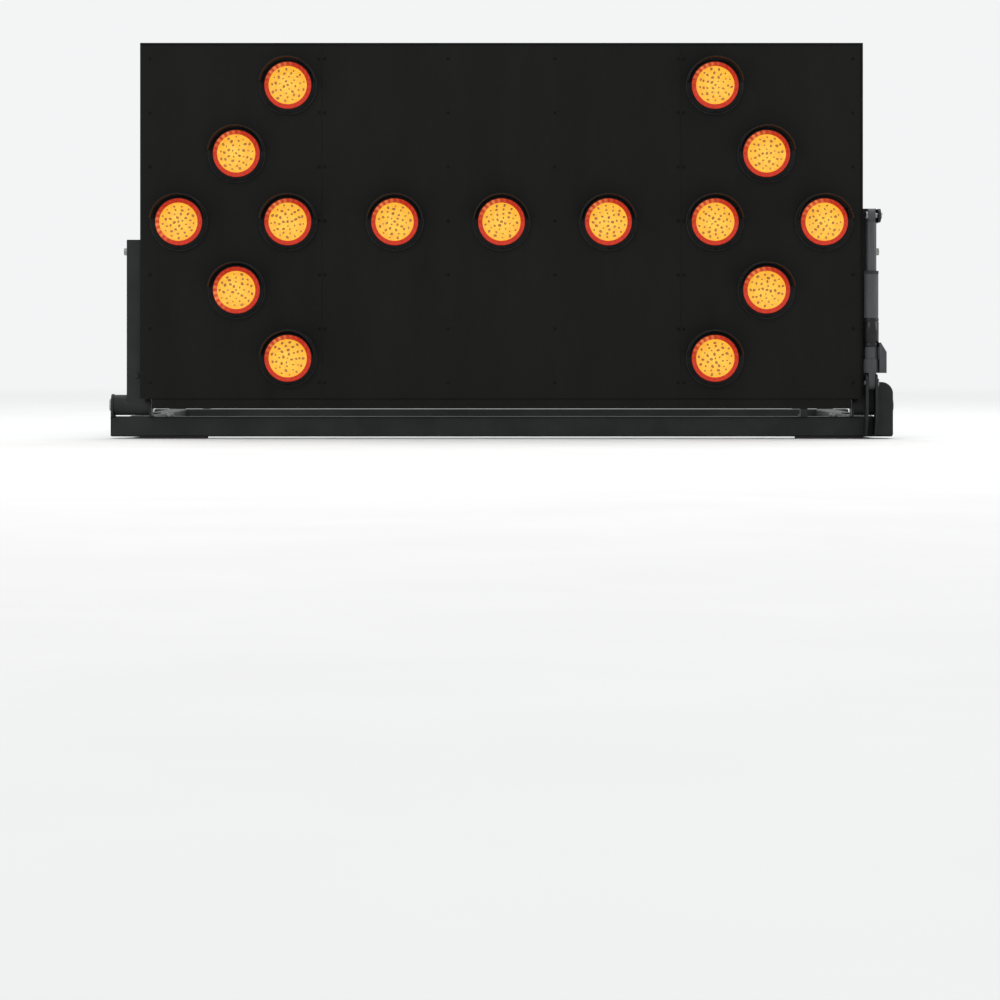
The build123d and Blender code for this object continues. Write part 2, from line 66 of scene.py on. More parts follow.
def area_light(name, place, target, size, power, colour=(1, 1, 1)):
    data = bpy.data.lights.new(name, "AREA")
    data.shape = "RECTANGLE"
    data.size, data.size_y = size
    data.energy = power
    data.color = colour
    lamp = bpy.data.objects.new(name, data)
    lamp.location = place
    lamp.rotation_euler = (Vector(target) - Vector(place)).to_track_quat("-Z", "Y").to_euler()
    bpy.context.collection.objects.link(lamp)


area_light("sky_panel", (0.5, 0.5, 6.0), (0, 0, 0.3), (6, 6), 150, (0.95, 0.98, 1))
area_light("key_panel", (-3.5, -5.0, 4.2), (0, -0.5, 0.5), (2, 2), 60, (1, 0.98, 0.95))
area_light("side_panel", (5.0, -1.0, 2.2), (0.8, -0.5, 0.4), (1.2, 2.5), 50)

backdrop = (0.90, 0.905, 0.91)
world = bpy.data.worlds.new("studio")
bpy.context.scene.world = world
world.use_nodes = True
world.node_tree.nodes["Background"].inputs["Color"].default_value = (*backdrop, 1)
world.node_tree.nodes["Background"].inputs["Strength"].default_value = 1.0
bpy.context.scene.view_settings.view_transform = "Standard"


def shader(name):
    """A new material with its shader node, ready to be wired."""
    material = bpy.data.materials.new(name)
    material.use_nodes = True
    return material, material.node_tree.nodes["Principled BSDF"]


def add_node(material, kind, **values):
    """A node in a material: socket names set its inputs, other names its properties."""
    node = material.node_tree.nodes.new(kind)
    for key, value in values.items():
        label = key.replace("_", " ")
        match = [s for s in node.inputs if s.name.lower() == label.lower()]
        if match:
            match[0].default_value = value
        else:
            setattr(node, key, value)
    return node


def wire(material, source, target):
    material.node_tree.links.new(source, target)


def place_of(material, stretch=(1, 1, 1)):
    """The object's own coordinates, stretched for streaks or drawn lines."""
    coordinates = add_node(material, "ShaderNodeTexCoord")
    mapping = add_node(material, "ShaderNodeMapping")
    mapping.inputs["Scale"].default_value = stretch
    wire(material, coordinates.outputs["Object"], mapping.inputs["Vector"])
    return mapping.outputs["Vector"]


def noise_of(material, scale, detail=4.0, stretch=(1, 1, 1), roughness=0.55):
    noise = add_node(material, "ShaderNodeTexNoise", scale=scale, detail=detail, roughness=roughness)
    wire(material, place_of(material, stretch), noise.inputs["Vector"])
    return noise.outputs["Fac"]


def blend_colours(material, factor, low, high, start=0.35, end=0.65):
    """Two colours mixed by a factor, between two levels of it."""
    ramp = add_node(material, "ShaderNodeValToRGB")
    ramp.color_ramp.elements[0].position = start
    ramp.color_ramp.elements[1].position = end
    ramp.color_ramp.elements[0].color = (*low, 1)
    ramp.color_ramp.elements[1].color = (*high, 1)
    wire(material, factor, ramp.inputs["Fac"])
    return ramp.outputs["Color"]


def over(material, factor, base, top):
    """One colour laid over another where the factor is high."""
    mix = add_node(material, "ShaderNodeMix")
    mix.data_type = "RGBA"
    wire(material, factor, mix.inputs[0])
    for source, slot in ((base, mix.inputs[6]), (top, mix.inputs[7])):
        if isinstance(source, tuple):
            slot.default_value = (*source, 1)
        else:
            wire(material, source, slot)
    return mix.outputs[2]


def floor_finish():
    """A pale floor that runs out into the backdrop's own tone, so that no horizon shows."""
    material, surface = shader("studio_floor")
    here = add_node(material, "ShaderNodeVectorMath", operation="LENGTH")
    wire(material, place_of(material), here.inputs[0])
    far = add_node(material, "ShaderNodeMapRange")
    far.inputs["From Min"].default_value = 2.0
    far.inputs["From Max"].default_value = 11.0
    wire(material, here.outputs["Value"], far.inputs["Value"])
    tone = blend_colours(material, noise_of(material, 3.0), (0.80, 0.80, 0.79), (0.83, 0.83, 0.82))
    wire(material, over(material, far.outputs["Result"], tone, (0, 0, 0)), surface.inputs["Base Color"])
    fade = over(material, far.outputs["Result"], (0, 0, 0), backdrop)
    wire(material, fade, surface.inputs["Emission Color"])
    surface.inputs["Emission Strength"].default_value = 1.0
    surface.inputs["Roughness"].default_value = 0.85
    surface.inputs["Specular IOR Level"].default_value = 0.0
    return material


floor_half = 90.0
floor_gap = 0.0005
floor_mesh = bpy.data.meshes.new("floor")
floor_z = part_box("rail_pads")[0].z - floor_gap
corners = [(-floor_half, -floor_half, floor_z), (floor_half, -floor_half, floor_z),
           (floor_half, floor_half, floor_z), (-floor_half, floor_half, floor_z)]
floor_mesh.from_pydata(corners, [], [(0, 1, 2, 3)])
floor = bpy.data.objects.new("floor", floor_mesh)
bpy.context.collection.objects.link(floor)
floor_mesh.materials.append(floor_finish())

# ---- frame of square steel tube -------------------------------------------------
# The base, uprights, cross tubes, rails and stiffeners are welded square steel tube, shot
# blasted and powder coated charcoal. The coat is faintly pebbled, dusty on top and scuffed.


def spread(material, factor, low, high):
    """A factor from 0 to 1 carried to another range."""
    node = add_node(material, "ShaderNodeMapRange")
    node.inputs["To Min"].default_value = low
    node.inputs["To Max"].default_value = high
    wire(material, factor, node.inputs["Value"])
    return node.outputs["Result"]


def relief(material, surface, height, strength, distance, under=None):
    """Fine relief on the surface, stacked on an earlier one if there is one."""
    bump = add_node(material, "ShaderNodeBump")
    bump.inputs["Strength"].default_value = strength
    bump.inputs["Distance"].default_value = distance
    wire(material, height, bump.inputs["Height"])
    if under is not None:
        wire(material, under, bump.inputs["Normal"])
    wire(material, bump.outputs["Normal"], surface.inputs["Normal"])
    return bump.outputs["Normal"]


def paint(node, material):
    """Give a carried-over part its finish."""
    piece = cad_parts[node]
    piece.data.materials.clear()
    piece.data.materials.append(material)


def mask_of(material, factor, start, end):
    """A factor cut to black and white between two levels, for patches and scratches."""
    return blend_colours(material, factor, (0, 0, 0), (1, 1, 1), start, end)


def frame_coat():
    material, surface = shader("frame_coat")
    tone = blend_colours(material, noise_of(material, 9.0), (0.0088, 0.0095, 0.0096),
                         (0.0165, 0.0178, 0.0182))
    normal = add_node(material, "ShaderNodeNewGeometry")
    split = add_node(material, "ShaderNodeSeparateXYZ")
    wire(material, normal.outputs["Normal"], split.inputs["Vector"])
    upward = add_node(material, "ShaderNodeMapRange")
    upward.inputs["From Min"].default_value = 0.55
    upward.inputs["To Max"].default_value = 0.75
    wire(material, split.outputs["Z"], upward.inputs["Value"])
    patch = add_node(material, "ShaderNodeMath", operation="MULTIPLY")
    wire(material, upward.outputs["Result"], patch.inputs[0])
    wire(material, spread(material, noise_of(material, 22.0), 0.25, 1.0), patch.inputs[1])
    dusty = over(material, patch.outputs["Value"], tone, (0.060, 0.059, 0.056))
    scuffs = noise_of(material, 60.0, 6.0, (0.12, 1, 1), 0.7)
    worn = mask_of(material, scuffs, 0.68, 0.72)
    wire(material, over(material, worn, dusty, (0.050, 0.051, 0.051)), surface.inputs["Base Color"])
    wire(material, spread(material, noise_of(material, 30.0), 0.42, 0.66), surface.inputs["Roughness"])
    surface.inputs["Specular IOR Level"].default_value = 0.26
    relief(material, surface, noise_of(material, 900.0, 2.0), 0.35, 0.0004)
    return material


coat = frame_coat()
for node in ("rear_beam", "front_beam", "side_rail_left", "side_rail_right", "hinge_ears", "hinge_barrels",
             "raised_stop", "foot_plates", "upright_left", "upright_right", "lower_cross_tube",
             "upper_cross_tube", "top_rail", "stiffeners", "actuator_lug"):
    paint(node, coat)

# ---- weld beads -----------------------------------------------------------------
# MIG fillets run round every joint of the tubes, ears and barrels, laid as overlapping
# ripples and coated over with the frame. Each path is walked by a bead every two millimetres.


def mesh_piece(name, verts, edges=(), faces=(), material=None):
    """A plain mesh object at the origin with its place in its mesh."""
    data = bpy.data.meshes.new(name)
    data.from_pydata(verts, edges, faces)
    data.update()
    if material:
        data.materials.append(material)
    piece = bpy.data.objects.new(name, data)
    bpy.context.collection.objects.link(piece)
    return piece


def new_tree(name, inputs):
    """An empty geometry tree with named inputs, and a table of their identifiers."""
    tree = bpy.data.node_groups.new(name, "GeometryNodeTree")
    tree.interface.new_socket("Geometry", in_out="INPUT", socket_type="NodeSocketGeometry")
    keys = {}
    for label, kind in inputs:
        socket = tree.interface.new_socket(label, in_out="INPUT", socket_type=kind)
        keys[label] = socket.identifier
    tree.interface.new_socket("Geometry", in_out="OUTPUT", socket_type="NodeSocketGeometry")
    return tree, keys


def smooth_faces(piece):
    for face in piece.data.polygons:
        face.use_smooth = True


def grow(name, source, tree, keys, values, body):
    """Run a geometry tree on a mesh, keep the result as a plain mesh, and set it on its body."""
    modifier = source.modifiers.new("tree", "NODES")
    modifier.node_group = tree
    for label, value in values.items():
        modifier[keys[label]] = value
    graph = bpy.context.evaluated_depsgraph_get()
    data = bpy.data.meshes.new_from_object(source.evaluated_get(graph))
    source.modifiers.remove(modifier)
    data.name = name
    piece = bpy.data.objects.new(name, data)
    bpy.context.collection.objects.link(piece)
    bpy.data.objects.remove(source)
    smooth_faces(piece)
    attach(piece, body)
    return piece


def bead_tree():
    tree, keys = new_tree("weld_bead", [("Bead Radius", "NodeSocketFloat"), ("Bead Step", "NodeSocketFloat"),
                                        ("Finish", "NodeSocketMaterial")])
    start = tree.nodes.new("NodeGroupInput")
    end = tree.nodes.new("NodeGroupOutput")
    curve = tree.nodes.new("GeometryNodeMeshToCurve")
    walk = tree.nodes.new("GeometryNodeResampleCurve")
    walk.mode = "LENGTH"
    ball = tree.nodes.new("GeometryNodeMeshIcoSphere")
    ball.inputs["Subdivisions"].default_value = 1
    wobble = tree.nodes.new("FunctionNodeRandomValue")
    wobble.data_type = "FLOAT"
    wobble.inputs[2].default_value = 0.85
    wobble.inputs[3].default_value = 1.15
    wobble.inputs["Seed"].default_value = 7
    put = tree.nodes.new("GeometryNodeInstanceOnPoints")
    real = tree.nodes.new("GeometryNodeRealizeInstances")
    finish = tree.nodes.new("GeometryNodeSetMaterial")
    link = tree.links.new
    link(start.outputs["Geometry"], curve.inputs["Mesh"])
    link(curve.outputs["Curve"], walk.inputs["Curve"])
    link(start.outputs["Bead Step"], walk.inputs["Length"])
    link(start.outputs["Bead Radius"], ball.inputs["Radius"])
    link(walk.outputs["Curve"], put.inputs["Points"])
    link(ball.outputs["Mesh"], put.inputs["Instance"])
    link(wobble.outputs[1], put.inputs["Scale"])
    link(put.outputs["Instances"], real.inputs["Geometry"])
    link(real.outputs["Geometry"], finish.inputs["Geometry"])
    link(start.outputs["Finish"], finish.inputs["Material"])
    link(finish.outputs["Geometry"], end.inputs["Geometry"])
    return tree, keys


def loose_boxes(node):
    """The boxes of a node's separate solids, from left to right and from low to high."""
    work = bmesh.new()
    work.from_mesh(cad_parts[node].data)
    bmesh.ops.remove_doubles(work, verts=work.verts, dist=1e-6)
    seen = set()
    boxes = []
    for first in work.verts:
        if first in seen:
            continue
        stack = [first]
        seen.add(first)
        island = []
        while stack:
            vert = stack.pop()
            island.append(vert.co.copy())
            for edge in vert.link_edges:
                other = edge.other_vert(vert)
                if other not in seen:
                    seen.add(other)
                    stack.append(other)
        low = Vector([min(p[k] for p in island) for k in range(3)])
        high = Vector([max(p[k] for p in island) for k in range(3)])
        boxes.append((low, high))
    work.free()
    boxes.sort(key=lambda b: (round(b[0].x, 3), round(b[0].z, 3)))
    return boxes


def loop_x(x, low, high):
    """The closed path round a tube's end that lies against an X face."""
    return [(x, low.y, low.z), (x, high.y, low.z), (x, high.y, high.z), (x, low.y, high.z), (x, low.y, low.z)]


weld_beads, bead_keys = bead_tree()
bead_overlap = 0.85


def weld(name, paths, radius, body):
    """Lay beads along a body's paths, each overlapping the last."""
    verts = []
    edges = []
    for path in paths:
        start = len(verts)
        verts.extend(path)
        edges.extend((start + k, start + k + 1) for k in range(len(path) - 1))
    values = {"Bead Radius": radius, "Bead Step": radius * bead_overlap, "Finish": coat}
    path = mesh_piece(name + "_path", verts, edges)
    grow(name, path, weld_beads, bead_keys, values, body)


base_bead = 0.0026
sign_bead = 0.0023
end_gap = 0.003
rail_gap = 0.004
tube_gap = 0.002
sunk = 0.0005
arc_lift = 0.0003
arc_start = -60
arc_step = 10
arc_points = 13
base_paths = []
for low, high in loose_boxes("hinge_ears"):
    for x in (low.x, high.x):
        base_paths.append([(x, beam_low.y + end_gap, beam_high.z), (x, high.y - end_gap, beam_high.z)])
for node in ("side_rail_left", "side_rail_right"):
    low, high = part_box(node)
    for y in (low.y, high.y):
        base_paths.append([(low.x, y, high.z - rail_gap), (low.x, y, low.z + rail_gap)])
        base_paths.append([(high.x, y, low.z + rail_gap), (high.x, y, high.z - rail_gap)])
        base_paths.append([(high.x - rail_gap, y, high.z - sunk), (low.x + rail_gap, y, high.z - sunk)])
weld("base_welds", base_paths, base_bead, "base")

corner_in = Vector((0, tube_gap, tube_gap))
sign_paths = []
for node in ("lower_cross_tube", "upper_cross_tube"):
    low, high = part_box(node)
    for x in (low.x, high.x):
        sign_paths.append(loop_x(x, low + corner_in, high - corner_in))
for low, high in loose_boxes("stiffeners"):
    for z in (low.z, high.z):
        back_y = high.y - sunk
        sign_paths.append([(low.x + tube_gap, back_y, z), (high.x - tube_gap, back_y, z)])
barrel_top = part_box("hinge_barrels")[1]
for node in ("upright_left", "upright_right"):
    low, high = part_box(node)
    middle = (low + high) / 2
    radius = (barrel_top.y - middle.y) + arc_lift
    for x in (low.x, high.x):
        arc = []
        for k in range(arc_points):
            turn = math.radians(arc_start + k * arc_step)
            z = barrel_top.z - radius + radius * math.cos(turn)
            arc.append((x, middle.y + radius * math.sin(turn), z))
        sign_paths.append(arc)
weld("sign_welds", sign_paths, sign_bead, "sign")

# ---- sign panel -----------------------------------------------------------------
# Three aluminium sheets are butted on the stiffeners and coated flat black, so that the lamps
# stand out. Rain and road film leave faint vertical streaks and fine pale specks.


def panel_black():
    material, surface = shader("panel_black")
    film = noise_of(material, 5.0, 6.0, (1.6, 1, 0.35), 0.65)
    tone = blend_colours(material, film, (0.0036, 0.0034, 0.0031), (0.0068, 0.0064, 0.0058), 0.3, 0.75)
    speck = mask_of(material, noise_of(material, 240.0, 3.0), 0.72, 0.78)
    wire(material, over(material, speck, tone, (0.015, 0.0145, 0.0135)), surface.inputs["Base Color"])
    wire(material, spread(material, noise_of(material, 14.0, 5.0, (1, 1, 0.4)), 0.50, 0.72),
         surface.inputs["Roughness"])
    surface.inputs["Specular IOR Level"].default_value = 0.14
    relief(material, surface, noise_of(material, 1400.0, 2.0), 0.25, 0.0003)
    return material


flat_black = panel_black()
for node in ("face_left", "face_centre", "face_right", "edge_angles", "bottom_rail"):
    paint(node, flat_black)

# Dark folded hems trim the top and the right-hand edge of the sheets. No strip covers the
# two seams between them.
hem_width = 0.006
hem_proud = 0.0012
left_low, left_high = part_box("face_left")
right_low, right_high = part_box("face_right")


def hem_finish():
    material, surface = shader("hem_black")
    tone = blend_colours(material, noise_of(material, 30.0), (0.0016, 0.0016, 0.0016),
                         (0.0036, 0.0036, 0.0034))
    wire(material, tone, surface.inputs["Base Color"])
    wire(material, spread(material, noise_of(material, 40.0), 0.45, 0.6), surface.inputs["Roughness"])
    surface.inputs["Specular IOR Level"].default_value = 0.1
    return material


def strip(name, low, high, material, body, bevel=0.0004):
    """A thin folded strip with softened edges, between two corners."""
    work = bmesh.new()
    bmesh.ops.create_cube(work, size=1.0)
    size = Vector(high) - Vector(low)
    centre = (Vector(high) + Vector(low)) / 2
    for vert in work.verts:
        vert.co = Vector((vert.co.x * size.x, vert.co.y * size.y, vert.co.z * size.z)) + centre
    bmesh.ops.bevel(work, geom=work.edges[:], offset=bevel, segments=2, profile=0.5, affect="EDGES")
    piece = mesh_piece(name, [], material=material)
    work.to_mesh(piece.data)
    work.free()
    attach(piece, body)


hem_black = hem_finish()
front = sheet_low.y
strip("top_hem", (left_low.x, front - hem_proud, left_high.z - hem_width),
      (right_high.x, front, left_high.z), hem_black, "sign")
strip("right_hem", (right_high.x - hem_width, front - hem_proud, right_low.z),
      (right_high.x, front, right_high.z - hem_width), hem_black, "sign")

# ---- rivets ---------------------------------------------------------------------
# Domed aluminium pop rivets, coated with the panel, hold the sheets on the stiffeners. Each
# has a shallow hollow where its mandrel snapped off.


def rivet_tree():
    tree, keys = new_tree("pop_rivet", [("Smallest", "NodeSocketFloat"), ("Largest", "NodeSocketFloat"),
                                        ("Head", "NodeSocketObject"), ("Finish", "NodeSocketMaterial")])
    start = tree.nodes.new("NodeGroupInput")
    end = tree.nodes.new("NodeGroupOutput")
    head = tree.nodes.new("GeometryNodeObjectInfo")
    turn = tree.nodes.new("FunctionNodeRandomValue")
    turn.data_type = "FLOAT_VECTOR"
    turn.inputs[1].default_value = (0, math.tau, 0)
    turn.inputs["Seed"].default_value = 3
    size = tree.nodes.new("FunctionNodeRandomValue")
    size.data_type = "FLOAT"
    size.inputs["Seed"].default_value = 11
    put = tree.nodes.new("GeometryNodeInstanceOnPoints")
    real = tree.nodes.new("GeometryNodeRealizeInstances")
    finish = tree.nodes.new("GeometryNodeSetMaterial")
    link = tree.links.new
    link(start.outputs["Head"], head.inputs["Object"])
    link(start.outputs["Geometry"], put.inputs["Points"])
    link(head.outputs["Geometry"], put.inputs["Instance"])
    link(turn.outputs[0], put.inputs["Rotation"])
    link(start.outputs["Smallest"], size.inputs[2])
    link(start.outputs["Largest"], size.inputs[3])
    link(size.outputs[1], put.inputs["Scale"])
    link(put.outputs["Instances"], real.inputs["Geometry"])
    link(real.outputs["Geometry"], finish.inputs["Geometry"])
    link(start.outputs["Finish"], finish.inputs["Material"])
    link(finish.outputs["Geometry"], end.inputs["Geometry"])
    return tree, keys


def turned(profile, sides):
    """A shape turned about the Y axis from (radius, y) points, as vertices and faces."""
    verts = []
    faces = []
    for radius, y in profile:
        for k in range(sides):
            angle = math.tau * k / sides
            verts.append((radius * math.cos(angle), y, radius * math.sin(angle)))
    for row in range(len(profile) - 1):
        for k in range(sides):
            a = row * sides + k
            b = row * sides + (k + 1) % sides
            faces.append((a, b, b + sides, a + sides))
    return verts, faces


def outward(piece):
    """Merge doubles and turn all faces outwards."""
    work = bmesh.new()
    work.from_mesh(piece.data)
    bmesh.ops.remove_doubles(work, verts=work.verts, dist=1e-7)
    bmesh.ops.dissolve_degenerate(work, edges=work.edges, dist=1e-8)
    bmesh.ops.recalc_face_normals(work, faces=work.faces)
    work.to_mesh(piece.data)
    work.free()
    return piece


head_tree, head_keys = rivet_tree()
one_size = (1.0, 1.0)
rivet_sides = 12


def scatter(name, head, spots, sizes, material, body):
    """Instances of one small head on a list of spots, between two sizes, as one plain mesh."""
    values = {"Smallest": sizes[0], "Largest": sizes[1], "Head": head, "Finish": material}
    return grow(name, mesh_piece(name + "_spots", spots), head_tree, head_keys, values, body)


rivet_boxes = loose_boxes("rivets")
rivet_radius = (rivet_boxes[0][1].x - rivet_boxes[0][0].x) / 2
rivet_proud = rivet_boxes[0][1].y - rivet_boxes[0][0].y
dome = [(0.0, -0.62), (0.22, -0.62), (0.30, -0.95), (0.55, -0.92), (0.82, -0.68), (1.0, -0.25),
        (1.0, 0.0), (0.0, 0.0)]
verts, faces = turned([(r * rivet_radius, y * rivet_proud) for r, y in dome], rivet_sides)
rivet_head = outward(mesh_piece("rivet_head", verts, faces=faces))
spots = [((low.x + high.x) / 2, high.y, (low.z + high.z) / 2) for low, high in rivet_boxes]
rivets = scatter("panel_rivets", rivet_head, spots, one_size, hem_black, "sign")
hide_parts("rivets")
bpy.data.objects.remove(rivet_head)

# ---- lamps: gasket, bezel and screws --------------------------------------------
# Every lamp sits in a round hole on a soft rubber gasket. A moulded black bezel clamps it with
# three pan-head screws, and its rounded lip stands just proud of the lens.


def soft_rubber():
    material, surface = shader("soft_rubber")
    tone = blend_colours(material, noise_of(material, 45.0), (0.010, 0.010, 0.010), (0.020, 0.020, 0.019))
    wire(material, tone, surface.inputs["Base Color"])
    wire(material, spread(material, noise_of(material, 80.0), 0.75, 0.92), surface.inputs["Roughness"])
    relief(material, surface, noise_of(material, 700.0, 2.0), 0.3, 0.0003)
    return material


def moulded_black():
    material, surface = shader("moulded_black")
    tone = blend_colours(material, noise_of(material, 25.0), (0.0030, 0.0030, 0.0031),
                         (0.0062, 0.0062, 0.0062))
    wire(material, tone, surface.inputs["Base Color"])
    wire(material, spread(material, noise_of(material, 60.0), 0.38, 0.55), surface.inputs["Roughness"])
    surface.inputs["Specular IOR Level"].default_value = 0.12
    relief(material, surface, noise_of(material, 1800.0, 2.0), 0.25, 0.0002)
    return material


def zinc_plate():
    material, surface = shader("zinc_plate")
    tone = blend_colours(material, noise_of(material, 70.0, 5.0), (0.20, 0.20, 0.195), (0.36, 0.36, 0.35))
    rust = mask_of(material, noise_of(material, 38.0, 8.0, (1, 1, 1), 0.75), 0.64, 0.74)
    wire(material, over(material, rust, tone, (0.17, 0.085, 0.045)), surface.inputs["Base Color"])
    surface.inputs["Metallic"].default_value = 0.85
    wire(material, spread(material, noise_of(material, 90.0), 0.28, 0.52), surface.inputs["Roughness"])
    relief(material, surface, noise_of(material, 500.0, 3.0), 0.15, 0.0002)
    return material


rubber = soft_rubber()
black_plastic = moulded_black()
zinc = zinc_plate()
for node in ("lamp_gaskets", "rail_pads", "rest_strips", "box_seal", "wiper_seal"):
    paint(node, rubber)
for node in ("beam_caps", "upright_caps", "lamp_cans", "harness_clips", "cable_glands", "board_posts"):
    paint(node, black_plastic)

bezel_boxes = loose_boxes("lamp_bezels")
lens_boxes = loose_boxes("lamp_lenses")
lamp_spots = [((low.x + high.x) / 2, (low.z + high.z) / 2) for low, high in lens_boxes]
lens_radius = (lens_boxes[0][1].x - lens_boxes[0][0].x) / 2
lens_front = lens_boxes[0][0].y
lens_back = lens_boxes[0][1].y
bezel_radius = (bezel_boxes[0][1].x - bezel_boxes[0][0].x) / 2
bezel_front, bezel_back = bezel_boxes[0][0].y, bezel_boxes[0][1].y


def at_lamps(name, verts, faces, material, spots):
    """One lamp's shape repeated at every lamp, as one mesh."""
    all_verts = []
    all_faces = []
    for x, z in spots:
        start = len(all_verts)
        all_verts.extend((x + vx, vy, z + vz) for vx, vy, vz in verts)
        all_faces.extend(tuple(start + k for k in face) for face in faces)
    return outward(mesh_piece(name, all_verts, faces=all_faces, material=material))


lip = 0.0016
round_sides = 64
lens_play = 0.0004
inner_wall = lens_radius + lens_play
bezel_profile = [
    (inner_wall, bezel_back), (inner_wall, bezel_front + lip),
    (inner_wall + 0.4 * lip, bezel_front + 0.3 * lip), (inner_wall + lip, bezel_front),
    (inner_wall + 3 * lip, bezel_front), (inner_wall + 4 * lip, bezel_front + 1.1 * lip),
    (bezel_radius - 1.2 * lip, bezel_front + 1.5 * lip), (bezel_radius - 0.3 * lip, bezel_front + 2.0 * lip),
    (bezel_radius, bezel_front + 3 * lip), (bezel_radius, bezel_back), (inner_wall, bezel_back)]
verts, faces = turned(bezel_profile, round_sides)
bezels = at_lamps("bezel_rings", verts, faces, black_plastic, lamp_spots)
smooth_faces(bezels)
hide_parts("lamp_bezels")
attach(bezels, "sign")

screw_radius = 0.0030
screw_inset = 0.0052
screw_sides = 10
screws_per_lamp = 3
screw_profile = [(0.0, -0.35), (0.34, -0.35), (0.40, -0.62), (0.62, -0.60), (0.88, -0.38), (1.0, 0.0),
                 (0.0, 0.0)]
verts, faces = turned([(r * screw_radius, y * screw_radius) for r, y in screw_profile], screw_sides)
screw_head = outward(mesh_piece("bezel_screw_head", verts, faces=faces))
screw_circle = bezel_radius - screw_inset
screw_seat = bezel_front + 1.25 * lip
screw_spots = []
for x, z in lamp_spots:
    for k in range(screws_per_lamp):
        angle = math.radians(-90 + 360 / screws_per_lamp * k)
        across = screw_circle * math.cos(angle)
        screw_spots.append((x + across, screw_seat, z + screw_circle * math.sin(angle)))
scatter("bezel_screws", screw_head, screw_spots, one_size, hem_black, "sign")
bpy.data.objects.remove(screw_head)

# ---- lamps: lens, reflector ribs and LEDs ---------------------------------------
# Each lens is one amber acrylic moulding: a clear stepped face over the LED board, inside a
# red-orange ring of prismatic ribs. The lamps are lit, and the LED dies show as small brown dots.
face_share = 0.815
rib_count = 24
rib_depth = 0.0022
face_steps = 9
step_run = 0.0006
step_drop = 0.0005
face_skirt = 0.0030
crown_drop = 0.0004


def lit_face():
    material, surface = shader("lit_lens_face")
    ray = add_node(material, "ShaderNodeAttribute")
    ray.attribute_name = "from_centre"
    glow = blend_colours(material, ray.outputs["Fac"], (1.0, 0.62, 0.095), (1.0, 0.55, 0.065), 0.15, 0.95)
    patchy = blend_colours(material, noise_of(material, 120.0, 2.0), (0.66, 0.27, 0.03),
                           (1.0, 0.86, 0.42), 0.3, 0.7)
    mixed = add_node(material, "ShaderNodeMix")
    mixed.data_type = "RGBA"
    mixed.blend_type = "MULTIPLY"
    mixed.inputs[0].default_value = 0.38
    wire(material, glow, mixed.inputs[6])
    wire(material, patchy, mixed.inputs[7])
    wire(material, mixed.outputs[2], surface.inputs["Emission Color"])
    surface.inputs["Emission Strength"].default_value = 1.05
    deep = blend_colours(material, ray.outputs["Fac"], (0.16, 0.060, 0.004), (0.11, 0.035, 0.003))
    wire(material, deep, surface.inputs["Base Color"])
    surface.inputs["Roughness"].default_value = 0.32
    surface.inputs["Specular IOR Level"].default_value = 0.25
    return material


def lit_ring():
    material, surface = shader("lit_lens_ring_painted_glint")
    tone = blend_colours(material, noise_of(material, 160.0, 2.0), (0.52, 0.026, 0.010), (0.68, 0.046, 0.014))
    # painted highlight: the ribs' glint attribute paints bright orange glints into the emission and the base
    # colour
    painted_glint = add_node(material, "ShaderNodeAttribute")
    painted_glint.attribute_name = "painted_glint"
    lit = over(material, painted_glint.outputs["Fac"], tone, (1.0, 0.33, 0.09))
    wire(material, lit, surface.inputs["Emission Color"])
    surface.inputs["Emission Strength"].default_value = 0.72
    wire(material, over(material, painted_glint.outputs["Fac"], (0.16, 0.008, 0.004), (0.30, 0.05, 0.015)),
         surface.inputs["Base Color"])
    surface.inputs["Roughness"].default_value = 0.30
    surface.inputs["Specular IOR Level"].default_value = 0.22
    return material


def led_brown():
    material, surface = shader("led_brown")
    tone = blend_colours(material, noise_of(material, 300.0), (0.24, 0.085, 0.018), (0.40, 0.17, 0.04))
    wire(material, tone, surface.inputs["Base Color"])
    wire(material, tone, surface.inputs["Emission Color"])
    surface.inputs["Emission Strength"].default_value = 0.45
    surface.inputs["Roughness"].default_value = 0.25
    return material


face_radius = lens_radius * face_share
crown = lens_front + crown_drop
sag_share = 0.8
sag = (bezel_front - lens_front) * sag_share


def lens_y(radius):
    """The height of the lens's gentle crown at a radius."""
    return crown + sag * (radius / lens_radius) ** 2


face_rows = []
for k in range(face_steps + 1):
    radius = face_radius * k / face_steps
    face_rows.append((radius, lens_y(radius)))
    if 0 < k < face_steps:
        face_rows.append((radius + step_run, lens_y(radius) + step_drop))
face_rows.append((face_radius, lens_y(face_radius) + face_skirt))
verts, faces = turned(face_rows, round_sides)
lens_faces = at_lamps("lens_faces", verts, faces, lit_face(), lamp_spots)
from_centre = lens_faces.data.attributes.new("from_centre", "FLOAT", "POINT")
for vert in lens_faces.data.vertices:
    nearest = min(math.hypot(vert.co.x - x, vert.co.z - z) for x, z in lamp_spots)
    from_centre.data[vert.index].value = nearest / face_radius
smooth_faces(lens_faces)
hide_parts("lamp_lenses")
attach(lens_faces, "sign")


ring_root = 0.0026
ring_rise = 0.0003
ring_fall = 0.0004
ring_round = 0.0012


def rib_ring():
    """The ribbed outer ring: two facets to a rib, deepest at the middle of the ring."""
    verts = []
    faces = []
    count = 2 * rib_count
    rows = [(face_radius, ring_root, 0.0), (face_radius + step_run, ring_rise, 0.3),
            (0.5 * (face_radius + lens_radius), 0.0, 1.0),
            (lens_radius - ring_round, ring_fall, 0.5), (lens_radius, ring_round, 0.0)]
    for radius, drop, depth in rows:
        for k in range(count):
            angle = math.tau * k / count
            y = lens_y(radius) + drop + (rib_depth * depth if k % 2 else 0.0)
            verts.append((radius * math.cos(angle), y, radius * math.sin(angle)))
    for k in range(count):
        angle = math.tau * k / count
        verts.append((lens_radius * math.cos(angle), lens_back, lens_radius * math.sin(angle)))
    for row in range(len(rows)):
        for k in range(count):
            a = row * count + k
            b = row * count + (k + 1) % count
            faces.append((a, b, b + count, a + count))
    return verts, faces


